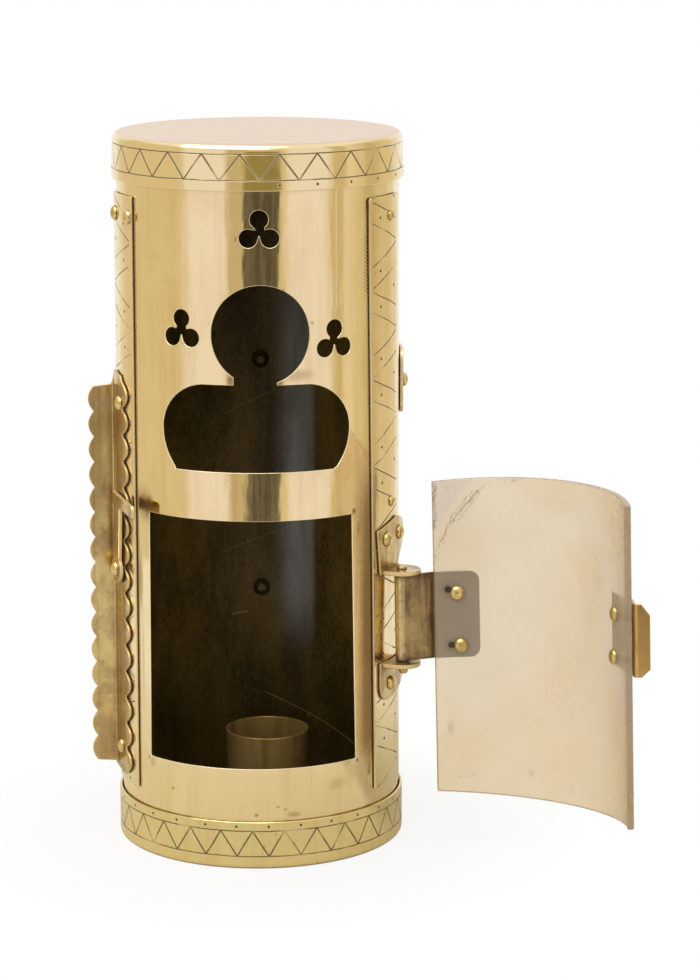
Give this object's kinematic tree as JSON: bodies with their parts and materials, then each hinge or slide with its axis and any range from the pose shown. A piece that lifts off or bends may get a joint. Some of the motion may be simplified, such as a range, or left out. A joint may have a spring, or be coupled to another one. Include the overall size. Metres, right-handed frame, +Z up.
{
  "type": "candle lantern",
  "caption": "Cylindrical sheet-brass candle lantern with a keyhole vent, hinged translucent horn door, swinging latch, lift-off cap and candle cup.",
  "frame": {"origin": "centre of the base pan's underside", "axes": "+Z up along the lantern, the window faces -Y, the door hinge is on the +X side"},
  "size_m": [0.1922, 0.1657, 0.253],
  "materials": {
    "body_brass": "polished, with fine scratches",
    "strip_brass": "engraved, lightly worn",
    "worn_brass": "worn, tarnished in the corners",
    "dark_brass": "oxidised, mottled",
    "rivet_brass": "bright, hammered",
    "horn": "translucent, satin, fibrous"
  },
  "bodies": {
    "lantern": {"body_tube": "body_brass", "base_pan": "body_brass", "left_strip": "strip_brass", "right_strip": "strip_brass", "back_band": "strip_brass", "keeper_bar": "worn_brass", "hinge_ear_upper": "worn_brass", "hinge_ear_lower": "worn_brass", "back_handle": "worn_brass", "candle_cup": "dark_brass", "cup_rivet": "dark_brass", "handle_washer_1": "dark_brass", "handle_washer_2": "dark_brass", "left_strip_rivet_1": "rivet_brass", "left_strip_rivet_2": "rivet_brass", "right_strip_rivet_1": "rivet_brass", "right_strip_rivet_2": "rivet_brass", "keeper_rivet_1": "rivet_brass", "keeper_rivet_2": "rivet_brass", "latch_rivet": "rivet_brass", "hinge_ear_rivet_1": "rivet_brass", "hinge_ear_rivet_2": "rivet_brass", "hinge_ear_rivet_3": "rivet_brass", "hinge_pin": "rivet_brass", "back_band_rivet_1": "rivet_brass", "back_band_rivet_2": "rivet_brass", "handle_rivet_1": "rivet_brass", "handle_rivet_2": "rivet_brass"},
    "cap": {"cap": "body_brass"},
    "door": {"horn_pane": "horn", "door_strap": "dark_brass", "door_strap_rivet_1": "rivet_brass", "door_strap_rivet_2": "rivet_brass", "pull_tab": "worn_brass", "pull_tab_rivet_1": "rivet_brass", "pull_tab_rivet_2": "rivet_brass"},
    "latch": {"latch_lever": "worn_brass"}
  },
  "joints": [
    {"name": "door_hinge", "type": "hinge", "parent": "lantern", "child": "door", "pos_m": [0.05041, -0.02469, 0.08355], "axis": [-0.0162, 0.0105, 0.9998], "range_deg": [-138.5, 26.5]},
    {"name": "latch_pivot", "type": "hinge", "parent": "lantern", "child": "latch", "pos_m": [-0.04987, -0.01795, 0.0998], "axis": [0.9409, 0.3387, 0], "range_deg": [0, 79]},
    {"name": "cap_lift", "type": "slide", "parent": "lantern", "child": "cap", "axis": [0, 0, 1], "range_m": [0, 0.03]}
  ]
}
